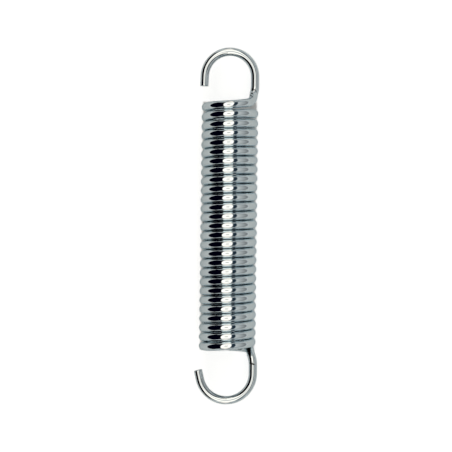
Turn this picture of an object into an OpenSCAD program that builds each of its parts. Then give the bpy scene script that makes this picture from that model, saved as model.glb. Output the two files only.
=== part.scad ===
// Extension spring: one length of round wire, wound into a close coil with a hook at each end.
// It lies as it rests: the coil runs along Y, the hooks lie flat, and Z points up.
// Lengths are in millimetres and angles in degrees.

/* [Wire and coil] */

// Thickness of the wire
wire_thickness = 2.35; // [1.8:0.05:2.4]
// Outside width of the coil
coil_width = 16; // [14:0.5:20]
// Rise of one full turn, a little more than the thickness of the wire
turn_rise = 2.57; // [2.55:0.01:3]
// Full turns between the two turns that lead out to the hooks
full_turns = 26; // [4:1:32]
// How much less than half a turn's rise the near half of the uppermost turn rises
skew = 0.34; // [0:0.02:0.4]
// How far the uppermost turns are pulled apart by the bend of the hook above them
loosening = 0.36; // [0:0.02:0.6]

/* [Hooks] */

// How much wider than the coil the upper hook bends, to the middle of the wire
upper_hook_extra = 0.275; // [0:0.025:0.6]
// How much wider than the coil the lower hook bends, as it is opened a little more
lower_hook_extra = 0.725; // [0.2:0.025:1]
// How far the middle of the upper hook lies to the right of the coil's axis
upper_hook_shift = -0.13; // [-0.3:0.01:0.3]
// How far the middle of the lower hook lies to the right of the coil's axis
lower_hook_shift = -0.2; // [-0.3:0.01:0.3]
// Length of the straight leg between the bend and the upper hook
upper_leg = 2.6; // [0.5:0.1:8]
// Length of the straight leg between the bend and the lower hook
lower_leg = 2.3; // [0.5:0.1:8]
// Length of the straight piece at the upper hook's cut end
upper_tip = 2.9; // [0.5:0.1:4]
// Length of the straight piece at the lower hook's cut end
lower_tip = 2.6; // [0.5:0.1:4]
// How far the upper hook's straight end leans outwards
upper_tip_lean = 2; // [0:1:30]
// How far the lower hook's straight end leans outwards
lower_tip_lean = 13; // [0:1:30]

/* [Bends between coil and hooks] */

// Rise of the half turn that leads into the upper hook, flattened by its bend
upper_last_rise = 0.5; // [0.4:0.05:0.8]
// Rise of the half turn that leads into the lower hook
lower_last_rise = 1.4; // [1.2:0.05:1.6]
// Where the wire starts to leave that half turn at the top, from the middle of its near side
upper_leave = -15; // [-25:1:0]
// Where the wire starts to leave that half turn at the bottom, from the middle of its far side
lower_leave = -17; // [-25:1:0]

/* [Hidden] */

$fn = 40;

wire_radius = wire_thickness / 2;
coil_radius = coil_width / 2 - wire_radius;
half_rise = turn_rise / 2;
half_turns = 2 * full_turns;
upper_hook_radius = coil_radius + upper_hook_extra;
lower_hook_radius = coil_radius + lower_hook_extra;

// Where the legs become straight, over the start of the half turn that leads into the hook.
upper_foot = 0.882 * coil_radius;
lower_foot = 0.792 * coil_radius;

// Elbows, as shares of the coil radius: sideways, height over that start, and out of the hook's plane.
upper_elbow = [0.96, 0.4625, 0.1624];
lower_elbow = [0.9625, 0.2118, 0.3475];
// Direction of the wire at the elbows: swing away from straight back, and climb.
upper_elbow_way = [5, 47.3];
lower_elbow_way = [2.5, 12.4];
// How the bend is shared out between the arcs before and after each elbow.
upper_shares = [1.763, 0.942];
lower_shares = [1.45, 1.339];

// How the loosening is shared out over the uppermost half turns, the last of them first.
loose_shares = [0.17, 0.5, 0, 0.33];

// Rise of half turn k, counted from the lower hook. Near halves rise less than far ones.
function near(k) = k % 2 == 0;
function skew_of(k) = skew * floor(k / 2) / (full_turns - 1);
function loose_of(k) =
    half_turns - 1 - k < len(loose_shares) ? loosening * loose_shares[half_turns - 1 - k] : 0;
function rise_of(k) = half_rise + (near(k) ? -1 : 1) * skew_of(k) + loose_of(k);

// Height of the start of half turn k. The lowest one is at zero.
function height_of(k) = k <= 0 ? 0 : height_of(k - 1) + rise_of(k - 1);

// Reach of each hook past the turn it leaves, and from that the middle of the whole length.
upper_reach = height_of(half_turns) + upper_foot + upper_leg + upper_hook_radius + wire_radius;
lower_reach = lower_foot + lower_leg + lower_hook_radius + wire_radius;
middle = (upper_reach - lower_reach) / 2;

function unit(v) = v / norm(v);
function digits(x, n) = round(x * pow(10, n)) / pow(10, n);
function six_digits(x) = digits(x, 5 - floor(log(x)));

// The wire is a chain of pieces, and each starts exactly where the one before it ends.
// A piece holds its start, the outward side of its bend, its way, its bend radius and its sweep.
// A straight piece has bend radius zero, and its length in place of the sweep.
function end_of(p) =
    p[3] == 0 ? p[0] + p[4] * p[2]
    : p[0] - p[3] * p[1] + p[3] * (cos(p[4]) * p[1] + sin(p[4]) * p[2]);
function way_after(p) = p[3] == 0 ? p[2] : cos(p[4]) * p[2] - sin(p[4]) * p[1];

// Half a turn of the coil, or part of one, that climbs by h. The near ones run left to right.
function turn_piece(a, h, is_near, sweep) =
    let(t = atan(h / 2 / coil_radius))
    [
        a,
        [is_near ? -cos(t) : cos(t), -sin(t), 0],
        [0, 0, is_near ? 1 : -1],
        six_digits(sqrt(pow(coil_radius, 2) + pow(h / 2, 2))),
        sweep
    ];

// An arc that leaves point a along way u and ends at point b.
function bend_piece(a, u, b) =
    let(
        chord = b - a,
        half_angle = acos(unit(chord) * u)
    )
    [
        a,
        cross(u, unit(cross(u, chord))),
        u,
        six_digits(norm(chord) / 2 / sin(half_angle)),
        digits(2 * half_angle, 4)
    ];

// Where two arcs meet that lead from point a, going along way u, to point b, arriving along way w.
// The share sets how much of the way belongs to the first arc.
function meeting(a, u, b, w, share) =
    let(
        v = b - a,
        q = 2 * share * (1 - u * w),
        h = 2 * (share * (v * u) + v * w),
        d = (sqrt(h * h + 4 * q * (v * v)) - h) / (2 * q),
        first = a + share * d * u,
        second = b - d * w
    )
    first + (second - first) * share / (share + 1);

function way_from(t) = [sin(t[0]) * cos(t[1]), sin(t[1]), -cos(t[0]) * cos(t[1])];

// All half turns of the coil from number k on, starting at point a.
function coil_from(k, a) =
    k >= half_turns ? []
    : let(p = turn_piece(a, rise_of(k), near(k), 180))
    concat([p], coil_from(k + 1, end_of(p)));

// The last turn, the bends that lead out of it and the hook, from the start of the last turn.
function hook_from(s, h, leave, elbow, way, shares, foot, radius, shift, leg_length, tip, lean) =
    let(
        turn = turn_piece(s, h, true, 90 + leave),
        low = [0, s[1], 0],
        e = low + elbow * coil_radius,
        f = low + [shift + radius, foot, 0],
        a = bend_piece(
            end_of(turn), way_after(turn),
            meeting(end_of(turn), way_after(turn), e, way_from(way), shares[0])
        ),
        b = bend_piece(end_of(a), way_after(a), e),
        c = bend_piece(
            end_of(b), way_after(b),
            meeting(end_of(b), way_after(b), f, [0, 1, 0], shares[1])
        ),
        d = bend_piece(end_of(c), way_after(c), f),
        u = way_after(d),
        out = unit([1, 0, 0] - u[0] * u),
        leg = [end_of(d), out, u, 0, digits(s[1] + foot + leg_length - end_of(d)[1], 4)],
        loop = [end_of(leg), out, u, radius, 180 - lean],
        last = [end_of(loop), cross(way_after(loop), cross(out, u)), way_after(loop), 0, tip]
    )
    [turn, a, b, c, d, leg, loop, last];

// The build keeps six digits of a number, so places and angles are set in two steps:
// first in round numbers that six digits hold, and then the small rest.
// Of the round sines near that of angle b, this takes the one whose cosine is also nearly round.
function round_turn(b) =
    let(
        step = abs(sin(b)) < 0.0999 ? 0.0000001 : 0.000001,
        tries = [
            for (n = [-90 : 90])
                let(
                    s = round(sin(b) / step + n) * step,
                    c = digits(sqrt(1 - s * s), 6)
                )
                [abs(s * s + c * c - 1) + pow(n * step, 2), c, s]
        ],
        best = min([for (t = tries) t[0]])
    )
    [for (t = tries) if (t[0] == best) t][0];

module about_z(c, s) {
    multmatrix([[c, -s, 0, 0], [s, c, 0, 0], [0, 0, 1, 0], [0, 0, 0, 1]])
        children();
}

module turn_z(angle) {
    quarters = round(angle / 90);
    t = round_turn(angle - 90 * quarters);
    rest = angle - 90 * quarters - atan2(t[2], t[1]);
    rotate([0, 0, 90 * quarters])
        about_z(t[1], t[2])
            about_z(1, sin(rest))
                children();
}

module turn_x(angle) {
    rotate([0, 90, 0])
        turn_z(angle)
            rotate([0, -90, 0])
                children();
}

module place(a, out, u) {
    normal = cross(out, u);
    near_a = [for (x = a) digits(x, 3)];
    translate(near_a)
        translate(a - near_a)
            turn_z(atan2(normal[0], -normal[1]))
                turn_x(atan2(norm([normal[0], normal[1]]), normal[2]))
                    turn_z(atan2(out[2], u[2]))
                        children();
}

module draw(p) {
    place(p[0], p[1], p[2])
        if (p[3] == 0)
            rotate([-90, 0, 0])
                cylinder(r = wire_radius, h = p[4]);
        else
            translate([-p[3], 0, 0])
                rotate_extrude(angle = p[4])
                    translate([p[3], 0])
                        circle(wire_radius);
}

coil_pieces = coil_from(0, [-coil_radius, 0, 0]);
upper_pieces = hook_from(
    end_of(coil_pieces[half_turns - 1]), upper_last_rise, upper_leave, upper_elbow, upper_elbow_way,
    upper_shares, upper_foot, upper_hook_radius, upper_hook_shift, upper_leg,
    upper_tip, upper_tip_lean
);
lower_pieces = hook_from(
    [-coil_radius, 0, 0], lower_last_rise, lower_leave, lower_elbow, lower_elbow_way,
    lower_shares, lower_foot, lower_hook_radius, lower_hook_shift, lower_leg,
    lower_tip, lower_tip_lean
);

// Height of the coil's axis over the surface it lies on. The lowest wire is either in the steepest
// far half turn or where the wire leaves the coil for the lower hook.
steepest = max([for (k = [1 : 2 : half_turns - 1]) rise_of(k)]);
steepest_depth = sqrt(pow(coil_radius, 2) + pow(steepest / 2, 2));
leaving = lower_pieces[1];
leaving_depth = leaving[0][2] - leaving[3] * (leaving[1][2] - norm([leaving[1][2], leaving[2][2]]));
axis_height = max(steepest_depth, leaving_depth) + wire_radius;

module wire() {
    color([0.72, 0.74, 0.78])
        translate([0, -middle, axis_height]) {
            for (p = coil_pieces)
                draw(p);
            for (p = upper_pieces)
                draw(p);
            rotate([180, 0, 0])
                for (p = lower_pieces)
                    draw(p);
        }
}

wire();
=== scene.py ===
"""Looks for the extension spring: one plated wire, a white table, a soft studio and the camera."""
import math

import bpy
import numpy as np
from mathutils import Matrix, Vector


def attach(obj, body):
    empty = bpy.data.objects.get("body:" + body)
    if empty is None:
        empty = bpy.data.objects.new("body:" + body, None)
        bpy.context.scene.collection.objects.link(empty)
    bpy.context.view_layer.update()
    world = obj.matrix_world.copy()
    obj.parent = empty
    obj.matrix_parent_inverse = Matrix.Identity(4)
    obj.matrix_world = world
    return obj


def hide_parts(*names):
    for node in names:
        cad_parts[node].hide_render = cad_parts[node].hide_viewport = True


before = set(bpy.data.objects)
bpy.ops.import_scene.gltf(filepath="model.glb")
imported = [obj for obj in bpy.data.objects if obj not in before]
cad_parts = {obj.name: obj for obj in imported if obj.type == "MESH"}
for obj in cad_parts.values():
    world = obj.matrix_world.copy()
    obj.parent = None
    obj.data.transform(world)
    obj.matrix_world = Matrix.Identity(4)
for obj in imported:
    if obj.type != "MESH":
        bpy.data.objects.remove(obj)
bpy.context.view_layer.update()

MM = 0.001

# Sizes of the wire, as in the CAD source, in millimetres and degrees.
WIRE_R = 1.175
COIL_R = 6.825
TURN_RISE = 2.57
HALF_TURNS = 52
SKEW = 0.34
LOOSENING = 0.36
LOOSE_SHARES = (0.17, 0.5, 0, 0.33)
UPPER = dict(
    rise=0.5, leave=-15, elbow=(0.96, 0.4625, 0.1624), way=(5, 47.3), shares=(1.763, 0.942),
    foot=0.882 * COIL_R, extra=0.275, shift=-0.13, leg=2.6, tip=2.9, lean=2,
)
LOWER = dict(
    rise=1.4, leave=-17, elbow=(0.9625, 0.2118, 0.3475), way=(2.5, 12.4), shares=(1.45, 1.339),
    foot=0.792 * COIL_R, extra=0.725, shift=-0.2, leg=2.3, tip=2.6, lean=13,
)

# In the coil the wire is drawn this much fatter, and moved in by as much, so that the turns nearly touch.
SNUG = 0.045

# How the wire is drawn: length between two rings, sides of a ring, and rim taken off each cut end.
STEP = 0.4
SIDES = 32
RIM = 0.06

# The plating, and the dark colour of its strokes: die lines, other dark strokes and a painted reflection
# by the lower hook.
METAL = (0.74, 0.82, 0.86, 1)
METAL_ROUGHNESS = 0.06
METAL_EDGE = (0.7, 0.77, 0.8, 1)
STROKE_DARK_AND_PAINTED_REFLECTION = (0.012, 0.013, 0.014, 1)

# Dark strokes. Each has its start and its end, both in millimetres along the wire from that end of it
# and round it, then its half width at the start and at the end, and how dark it is.
# The first ones at each end are dark strokes by the bends between coil and hook, and the first lower one
# of them, widening, is a painted reflection of the coil's dark underside. The last two are lines of the
# drawing die.
LOWER_STROKES = [
    # Painted reflection: a widening dark wedge on the inner flank, mirroring the coil's dark underside.
    ((28.1, 4.84), (32.0, 5.3), 0.12, 0.75, 1.0),
    ((27.66, 4.6), (27.25, 5.85), 0.2, 0.16, 1.0),
    ((1.5, 4.3), (12.0, 4.3), 0.09, 0.09, 0.75),
    ((2.5, 5.0), (13.0, 5.0), 0.09, 0.09, 0.7),
]
UPPER_STROKES = [
    ((28.3, 2.54), (29.4, 2.73), 0.12, 0.26, 1.0),
    ((30.75, 2.77), (30.65, 2.77), 0.27, 0.27, 1.0),
    ((31.1, 2.07), (33.0, 3.46), 0.17, 0.17, 0.85),
    ((28.9, 3.23), (30.0, 4.39), 0.16, 0.12, 0.7),
    ((3.5, 2.3), (12.5, 2.3), 0.09, 0.09, 0.75),
    ((4.5, 3.0), (13.0, 3.0), 0.09, 0.09, 0.7),
]
STROKE_SOFT = 0.05

# The table. It is lifted to white for the camera, but only past the coil's sides and ends,
# so that the shadow right under the coil stays dark.
TABLE_HALF_WIDTH = 3.0
TABLE_COLOUR = (0.75, 0.79, 0.81, 1)
TABLE_LIFT_SEEN = 0.68
TABLE_LIFT_MIRRORED = 0.1
LIFT_BESIDE = 7.7 * MM
LIFT_PAST_ENDS = 35.6 * MM
LIFT_SOFT = 0.4 * MM

# The studio, as directions over the table: sideways and lengthways angles from straight up, in degrees.
# A lengthways angle has no sign, so each card lies alike towards both ends of the coil.
WHITE = (1, 1, 1, 1)
ROOM = (0.575, 0.59, 0.58, 1)
SOFTBOX = (1.5, 1.36, 1.2, 1)
LENS = (0.62, 0.6, 0.58, 1)
WHITE_CLOTH = (1.12, 0.98, 0.86, 1)
BLACK_CLOTH = (0.0, 0.0, 0.004, 1)
NAVY_CLOTH = (0.02, 0.035, 0.05, 1)
PANEL_LEFT, PANEL_RIGHT = (0.6, 0.6, 0.58, 1), (0.2, 0.2, 0.2, 1)
END_PANEL_LEFT, END_PANEL_RIGHT = (0.25, 0.26, 0.26, 1), (0.5, 0.53, 0.54, 1)
END_ON = 90
CARDS = [
    # left colour, right colour, sideways from and to, lengthways from and to, softness of the edges
    (SOFTBOX, SOFTBOX, (-26, 15.5), (0, 43), 1.5),
    (LENS, LENS, (-11, 3), (0, 12), 3),
    (WHITE_CLOTH, WHITE_CLOTH, (-26, 15.5), (51, END_ON), 1.5),
    (BLACK_CLOTH, BLACK_CLOTH, (-88, -26.5), (0, 60), 1.2),
    (BLACK_CLOTH, BLACK_CLOTH, (-88, -26.5), (76, END_ON), 1.2),
    (NAVY_CLOTH, NAVY_CLOTH, (17.5, 34), (0, 50), 1.5),
    (NAVY_CLOTH, NAVY_CLOTH, (17.5, 36), (66, END_ON), 1.5),
    (PANEL_LEFT, PANEL_RIGHT, (36, 84), (0, 45), 3),
    (END_PANEL_LEFT, END_PANEL_RIGHT, (33, 84), (45, END_ON), 3),
]
# A card that lengthways starts at 0 or ends at END_ON has no edge there, so it is put well outside.
BEFORE_START = -90
PAST_END = 180

# The camera: the photo's width in pixels, the size of a pixel in the plane of the hooks, the distance
# from that plane and the place over it, in millimetres, and the roll in degrees.
PHOTO_PX = 452
MM_PER_PX = 0.28169
CAMERA_FAR = 384.0
CAMERA_X = -0.73
CAMERA_Y = -0.02
CAMERA_ROLL = 0.716
SENSOR = 36.0
CLIP_START = 0.01


# The line of the wire.

def unit(v):
    return v / np.linalg.norm(v)


def vec(*v):
    return np.array(v, float)


class Straight:
    """A straight piece of the wire, from start along way."""

    def __init__(self, start, way, length):
        self.start, self.way, self.length = start, way, length

    def point_at(self, s):
        return self.start + s * self.way

    def way_at(self, s):
        return self.way


class Arc:
    """A bent piece of the wire, from start along way, away from its outward side. Sweep in radians."""

    def __init__(self, start, out, way, radius, sweep):
        self.start, self.out, self.way, self.radius = start, out, way, radius
        self.length = radius * sweep

    def point_at(self, s):
        t = s / self.radius
        spoke = math.cos(t) * self.out + math.sin(t) * self.way
        return self.start - self.radius * self.out + self.radius * spoke

    def way_at(self, s):
        t = s / self.radius
        return math.cos(t) * self.way - math.sin(t) * self.out


def end_of(piece):
    """The place and the way of the wire at the end of a piece."""
    return piece.point_at(piece.length), piece.way_at(piece.length)


def is_near(k):
    return k % 2 == 0


def rise_of(k):
    """Rise of half turn k, counted from the lower hook."""
    skew = SKEW * (k // 2) / (HALF_TURNS // 2 - 1)
    last = HALF_TURNS - 1 - k
    loose = LOOSENING * LOOSE_SHARES[last] if last < len(LOOSE_SHARES) else 0
    return TURN_RISE / 2 + (-skew if is_near(k) else skew) + loose


def turn_piece(start, rise, near, sweep):
    """Half a turn of the coil, or part of one."""
    t = math.atan(rise / 2 / COIL_R)
    out = vec(-math.cos(t) if near else math.cos(t), -math.sin(t), 0)
    return Arc(start, out, vec(0, 0, 1 if near else -1), math.hypot(COIL_R, rise / 2), math.radians(sweep))


def bend_piece(start, way, end):
    """The arc that leaves start along way and ends at the point end."""
    chord = end - start
    half = math.acos(float(unit(chord) @ way))
    out = np.cross(way, unit(np.cross(way, chord)))
    return Arc(start, out, way, np.linalg.norm(chord) / 2 / math.sin(half), 2 * half)


def meeting(a, u, b, w, share):
    """Where two arcs meet that lead from point a, along way u, to point b, arriving along way w."""
    v = b - a
    q = 2 * share * (1 - float(u @ w))
    h = 2 * (share * float(v @ u) + float(v @ w))
    d = (math.sqrt(h * h + 4 * q * float(v @ v)) - h) / (2 * q)
    first, second = a + share * d * u, b - d * w
    return first + (second - first) * share / (share + 1)


def way_from(swing, climb):
    s, c = math.radians(swing), math.radians(climb)
    return vec(math.sin(s) * math.cos(c), math.sin(c), -math.cos(s) * math.cos(c))


def two_bends(start, way, end, end_way, share):
    """Two arcs that leave start along way and arrive at the point end along end_way."""
    first = bend_piece(start, way, meeting(start, way, end, end_way, share))
    return [first, bend_piece(*end_of(first), end)]


def hook_from(start, sizes):
    """The last half turn, the bends and the hook, from the start of that half turn."""
    turn = turn_piece(start, sizes["rise"], True, 90 + sizes["leave"])
    low = vec(0, start[1], 0)
    radius = COIL_R + sizes["extra"]
    elbow = low + np.array(sizes["elbow"]) * COIL_R
    foot = low + vec(sizes["shift"] + radius, sizes["foot"], 0)
    up = vec(0, 1, 0)
    out_of_coil = two_bends(*end_of(turn), elbow, way_from(*sizes["way"]), sizes["shares"][0])
    into_hook = two_bends(*end_of(out_of_coil[-1]), foot, up, sizes["shares"][1])
    leg = Straight(foot, up, sizes["leg"])
    loop = Arc(end_of(leg)[0], vec(1, 0, 0), up, radius, math.radians(180 - sizes["lean"]))
    return [turn, *out_of_coil, *into_hook, leg, loop, Straight(*end_of(loop), sizes["tip"])]


def reach_of(sizes):
    """How far a hook reaches past the start of its last half turn."""
    return sizes["foot"] + sizes["leg"] + COIL_R + sizes["extra"] + WIRE_R


def points_along(pieces):
    """Points along a chain of pieces, about a step apart."""
    points = []
    for piece in pieces:
        n = max(2, int(math.ceil(piece.length / STEP)))
        points += [piece.point_at(piece.length * i / n) for i in range(n)]
    return points + [end_of(pieces[-1])[0]]


def smooth(t):
    return t * t * (3 - 2 * t)


def coil_share(k, t):
    """How much of the coil's own look point t of half turn k has, from 0 to 1."""
    if k == 0:
        return smooth(t)
    if k == HALF_TURNS - 1:
        return 1 - smooth(t)
    return 1.0


def coil_points(coil):
    """Points along the coil, each half turn an even climb in place of the CAD's flat half circle."""
    points, shares = [], []
    for k, piece in enumerate(coil):
        n = int(math.ceil(piece.length / STEP))
        for i in range(n):
            t = i / n
            share = coil_share(k, t)
            point = piece.point_at(piece.length * t)
            climb_of_half_circle = (1 - math.cos(math.pi * t)) / 2
            point[1] += share * TURN_RISE / 2 * (t - climb_of_half_circle)
            point[0] *= 1 - share * SNUG / COIL_R
            point[2] *= 1 - share * SNUG / COIL_R
            points.append(point)
            shares.append(share)
    return points, shares


bottom = vec(-COIL_R, 0, 0)
top = bottom
coil = []
for k in range(HALF_TURNS):
    coil.append(turn_piece(top, rise_of(k), is_near(k), 180))
    top = end_of(coil[-1])[0]

low_points = points_along(hook_from(bottom, LOWER))
mid_points, mid_shares = coil_points(coil)
top_points = points_along(hook_from(top, UPPER))

middle = (top[1] + reach_of(UPPER) - reach_of(LOWER)) / 2
axis_height = max(point[2] for point in low_points) + WIRE_R
turned_over = vec(1, -1, -1)
points = [point * turned_over for point in reversed(low_points[1:])] + mid_points + top_points
points = np.array(points) + vec(0, -middle, axis_height)
fatter = np.array([0.0] * (len(low_points) - 1) + mid_shares + [0.0] * len(top_points)) * SNUG
ways = np.gradient(points, axis=0)
ways /= np.linalg.norm(ways, axis=1)[:, None]
runs = np.concatenate([[0], np.cumsum(np.linalg.norm(np.diff(points, axis=0), axis=1))])


# The wire itself.

def swept_tube(name, points, ways, runs, radii):
    """A round tube along the points, with flat cut ends and a small rim, and UVs round and along it."""
    angles = np.arange(SIDES) / SIDES * 2 * math.pi
    side = unit(np.cross(ways[0], vec(0, 0, 1)))
    sides = []
    for way in ways:
        side = unit(side - (side @ way) * way)
        sides.append((side, np.cross(way, side)))

    def ring(i, radius):
        s, t = sides[i]
        return points[i] + radius * (np.outer(np.cos(angles), s) + np.outer(np.sin(angles), t))

    last = len(points) - 1
    rings = [ring(i, radii[i]) for i in range(last + 1)]
    rings[0] = rings[0] + RIM * ways[0]
    rings[last] = rings[last] - RIM * ways[last]
    rings = [ring(0, radii[0] - RIM)] + rings + [ring(last, radii[last] - RIM)]
    rows = len(rings)
    faces = []
    for i in range(rows - 1):
        for j in range(SIDES):
            k = (j + 1) % SIDES
            faces.append((i * SIDES + j, i * SIDES + k, (i + 1) * SIDES + k, (i + 1) * SIDES + j))
    faces.append(tuple(reversed(range(SIDES))))
    faces.append(tuple((rows - 1) * SIDES + j for j in range(SIDES)))

    mesh = bpy.data.meshes.new(name)
    mesh.from_pydata([tuple(co) for co in np.concatenate(rings) * MM], [], faces)
    mesh.update()
    mesh.polygons.foreach_set("use_smooth", [True] * len(mesh.polygons))
    run = np.concatenate([[runs[0]], runs, [runs[-1]]])
    uvs = []
    for i in range(rows - 1):
        for j in range(SIDES):
            left, right = j / SIDES, (j + 1) / SIDES
            uvs += [(left, run[i]), (right, run[i]), (right, run[i + 1]), (left, run[i + 1])]
    uvs += [(0.0, run[0])] * SIDES + [(0.0, run[-1])] * SIDES
    layer = mesh.uv_layers.new(name="wire_uv")
    layer.data.foreach_set("uv", [c for uv in uvs for c in uv])
    obj = bpy.data.objects.new(name, mesh)
    bpy.context.scene.collection.objects.link(obj)
    return obj


wire = swept_tube("spring_wire", points, ways, runs, WIRE_R + fatter)
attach(wire, "root")
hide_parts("wire")


# Materials.

class Nodes:
    """A node tree with short ways to add nodes and to join them."""

    # Places of the colour sockets on a Mix node.
    MIX_A, MIX_B, MIX_RESULT = 6, 7, 2

    def __init__(self, tree):
        self.tree = tree

    def add(self, kind, **values):
        node = self.tree.nodes.new(kind)
        for name, value in values.items():
            setattr(node, name, value)
        return node

    def put(self, value, socket):
        if isinstance(value, bpy.types.NodeSocket):
            self.tree.links.new(value, socket)
        else:
            socket.default_value = value

    def math(self, operation, a, b=None, clamp=False):
        node = self.add("ShaderNodeMath", operation=operation, use_clamp=clamp)
        self.put(a, node.inputs[0])
        if b is not None:
            self.put(b, node.inputs[1])
        return node.outputs[0]

    def parts(self, vector):
        """The three parts of a vector."""
        split = self.add("ShaderNodeSeparateXYZ")
        self.put(vector, split.inputs[0])
        return split.outputs

    def step_up(self, value, edge, soft):
        """0 below the edge and 1 above it, turning smoothly."""
        node = self.add("ShaderNodeMapRange", interpolation_type="SMOOTHSTEP")
        self.put(value, node.inputs["Value"])
        node.inputs["From Min"].default_value = edge - soft
        node.inputs["From Max"].default_value = edge + soft
        return node.outputs[0]

    def band(self, value, low, high, soft):
        """1 between low and high and 0 outside them."""
        up = self.step_up(value, low, soft)
        down = self.step_up(value, high, soft)
        return self.math("SUBTRACT", up, down, clamp=True)

    def mix(self, share, a, b):
        node = self.add("ShaderNodeMix", data_type="RGBA")
        self.put(share, node.inputs["Factor"])
        self.put(a, node.inputs[self.MIX_A])
        self.put(b, node.inputs[self.MIX_B])
        return node.outputs[self.MIX_RESULT]


def material(name):
    mat = bpy.data.materials.new(name)
    mat.use_nodes = True
    return mat, Nodes(mat.node_tree), mat.node_tree.nodes["Principled BSDF"]


def stroke(kit, run, round_way, start, end, first_width, last_width):
    """1 inside the stroke from start to end and 0 outside it."""
    dx, dy = end[0] - start[0], end[1] - start[1]
    x = kit.math("SUBTRACT", run, start[0])
    y = kit.math("SUBTRACT", round_way, start[1])
    dot = kit.math("ADD", kit.math("MULTIPLY", x, dx), kit.math("MULTIPLY", y, dy))
    t = kit.math("DIVIDE", dot, dx * dx + dy * dy, clamp=True)
    off_x = kit.math("SUBTRACT", x, kit.math("MULTIPLY", t, dx))
    off_y = kit.math("SUBTRACT", y, kit.math("MULTIPLY", t, dy))
    squares = kit.math("ADD", kit.math("MULTIPLY", off_x, off_x), kit.math("MULTIPLY", off_y, off_y))
    width = kit.math("ADD", kit.math("MULTIPLY", t, last_width - first_width), first_width)
    return kit.step_up(kit.math("SUBTRACT", width, kit.math("SQRT", squares)), 0, STROKE_SOFT)


def plating_material(total_run):
    """Bright plating, reflecting the studio, with a few dark strokes, one of them a painted reflection by
    the lower hook.
    """
    mat, kit, shader = material("bright_plating")
    uv = kit.parts(kit.add("ShaderNodeUVMap", uv_map="wire_uv").outputs[0])
    round_way = kit.math("MULTIPLY", uv[0], 2 * math.pi * WIRE_R)
    from_lower_end = uv[1]
    from_upper_end = kit.math("SUBTRACT", total_run, from_lower_end)
    colour = METAL
    for run, strokes in ((from_lower_end, LOWER_STROKES), (from_upper_end, UPPER_STROKES)):
        for start, end, first_width, last_width, darkness in strokes:
            inside = stroke(kit, run, round_way, start, end, first_width, last_width)
            # Darken the plating inside each stroke; the first lower stroke is a painted reflection.
            colour = kit.mix(kit.math("MULTIPLY", inside, darkness), colour, STROKE_DARK_AND_PAINTED_REFLECTION)
    kit.put(colour, shader.inputs["Base Color"])
    shader.inputs["Metallic"].default_value = 1.0
    shader.inputs["Roughness"].default_value = METAL_ROUGHNESS
    shader.inputs["Specular Tint"].default_value = METAL_EDGE
    return mat


wire.data.materials.append(plating_material(float(runs[-1])))


# Table, studio and camera.

def table_material():
    mat, kit, shader = material("white_table")
    shader.inputs["Base Color"].default_value = TABLE_COLOUR
    shader.inputs["Roughness"].default_value = 1.0
    shader.inputs["Specular IOR Level"].default_value = 0.0
    shader.inputs["Emission Color"].default_value = WHITE
    path = kit.add("ShaderNodeLightPath")
    place = kit.parts(kit.add("ShaderNodeTexCoord").outputs["Object"])
    beside = kit.step_up(kit.math("ABSOLUTE", place[0]), LIFT_BESIDE, LIFT_SOFT)
    past_ends = kit.step_up(kit.math("ABSOLUTE", place[1]), LIFT_PAST_ENDS, LIFT_SOFT)
    lift = kit.math("MULTIPLY", kit.math("MAXIMUM", beside, past_ends), TABLE_LIFT_SEEN)
    seen = kit.math("MULTIPLY", path.outputs["Is Camera Ray"], lift)
    mirrored = kit.math("MULTIPLY", path.outputs["Is Glossy Ray"], TABLE_LIFT_MIRRORED)
    kit.put(kit.math("ADD", seen, mirrored), shader.inputs["Emission Strength"])
    return mat


def table():
    corners = [(-1, -1), (1, -1), (1, 1), (-1, 1)]
    mesh = bpy.data.meshes.new("table")
    mesh.from_pydata(
        [(x * TABLE_HALF_WIDTH, y * TABLE_HALF_WIDTH, 0) for x, y in corners], [], [(0, 1, 2, 3)])
    mesh.materials.append(table_material())
    obj = bpy.data.objects.new("table", mesh)
    bpy.context.scene.collection.objects.link(obj)
    return obj


def studio():
    """The room with its cards, which the wire mirrors. The camera itself sees it white."""
    world = bpy.data.worlds.new("studio")
    world.use_nodes = True
    kit = Nodes(world.node_tree)
    x, y, z = kit.parts(kit.add("ShaderNodeTexCoord").outputs["Generated"])
    to_degrees = math.degrees(1)
    sideways = kit.math("MULTIPLY", kit.math("ARCTAN2", x, z), to_degrees)
    lengthways = kit.math("ABSOLUTE", kit.math("MULTIPLY", kit.math("ARCSINE", y), to_degrees))
    colour = ROOM
    for left, right, (low, high), (near, far), soft in CARDS:
        along_card = kit.math("DIVIDE", kit.math("SUBTRACT", sideways, low), high - low, clamp=True)
        first = near if near > 0 else BEFORE_START
        last = far if far < END_ON else PAST_END
        inside = kit.math(
            "MULTIPLY", kit.band(sideways, low, high, soft), kit.band(lengthways, first, last, soft))
        colour = kit.mix(inside, colour, kit.mix(along_card, left, right))
    path = kit.add("ShaderNodeLightPath")
    colour = kit.mix(path.outputs["Is Camera Ray"], colour, WHITE)
    kit.put(colour, world.node_tree.nodes["Background"].inputs["Color"])
    return world


def photo_camera():
    data = bpy.data.cameras.new("camera")
    data.sensor_width = SENSOR
    data.lens = SENSOR * CAMERA_FAR / (PHOTO_PX * MM_PER_PX)
    data.clip_start = CLIP_START
    obj = bpy.data.objects.new("camera", data)
    obj.location = Vector((CAMERA_X, CAMERA_Y, axis_height + CAMERA_FAR)) * MM
    obj.rotation_euler = (0, 0, math.radians(CAMERA_ROLL))
    bpy.context.scene.collection.objects.link(obj)
    return obj


floor = table()
bpy.context.scene.world = studio()
bpy.context.scene.camera = photo_camera()
bpy.context.scene.view_settings.view_transform = "Standard"
